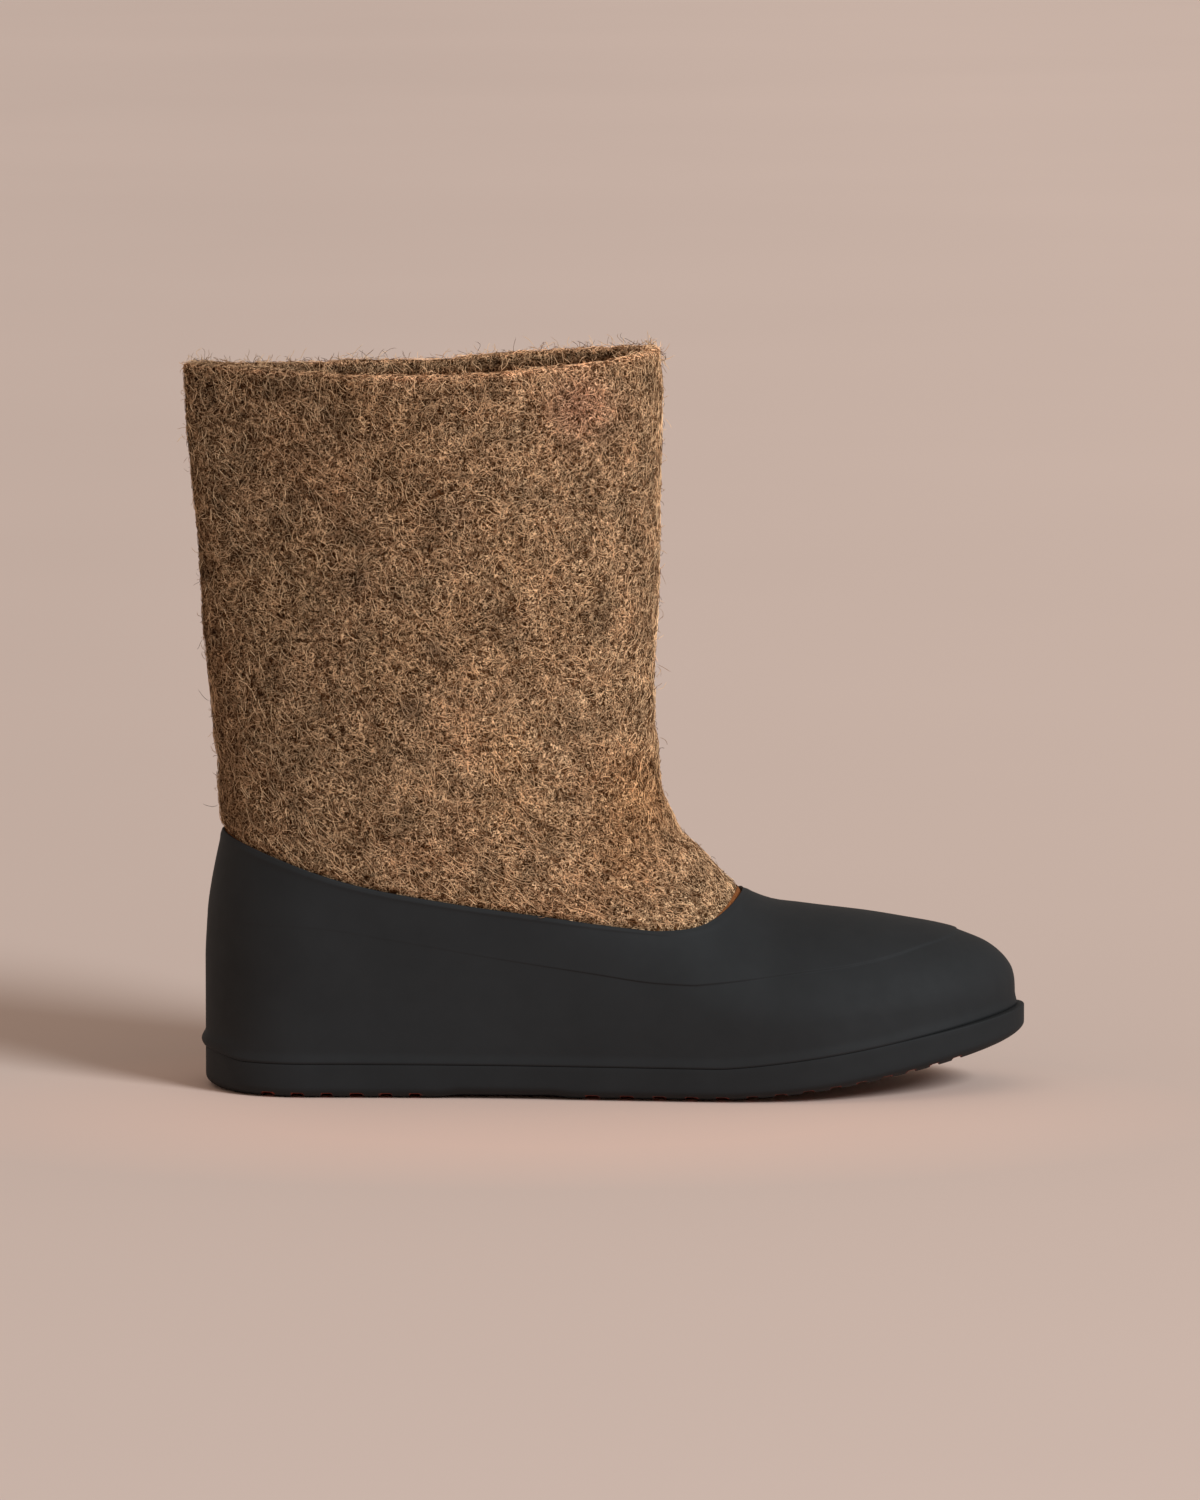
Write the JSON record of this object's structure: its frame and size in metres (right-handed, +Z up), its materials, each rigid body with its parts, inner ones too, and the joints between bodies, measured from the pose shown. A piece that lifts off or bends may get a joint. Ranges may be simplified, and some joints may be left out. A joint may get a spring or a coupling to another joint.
{
  "type": "felt boot",
  "caption": "Short felt boot standing in a low rubber overshoe, open at a flattened oval collar, with a flat cross-grooved sole.",
  "frame": {"origin": "on the floor under the middle of the boot's length and width", "axes": "+X towards the toe, +Y to the boot's left side, +Z up out of the collar"},
  "size_m": [0.303, 0.103, 0.2668],
  "materials": {
    "felt": "coarse heathered brown wool felt with loose fibres",
    "insole_felt": "dense grey-beige felt",
    "shell_rubber": "matte charcoal rubber",
    "sole_rubber": "matte charcoal rubber"
  },
  "bodies": {
    "root": {"felt_boot": "felt", "insole": "insole_felt", "overshoe_shell": "shell_rubber", "outsole": "sole_rubber"}
  },
  "joints": []
}
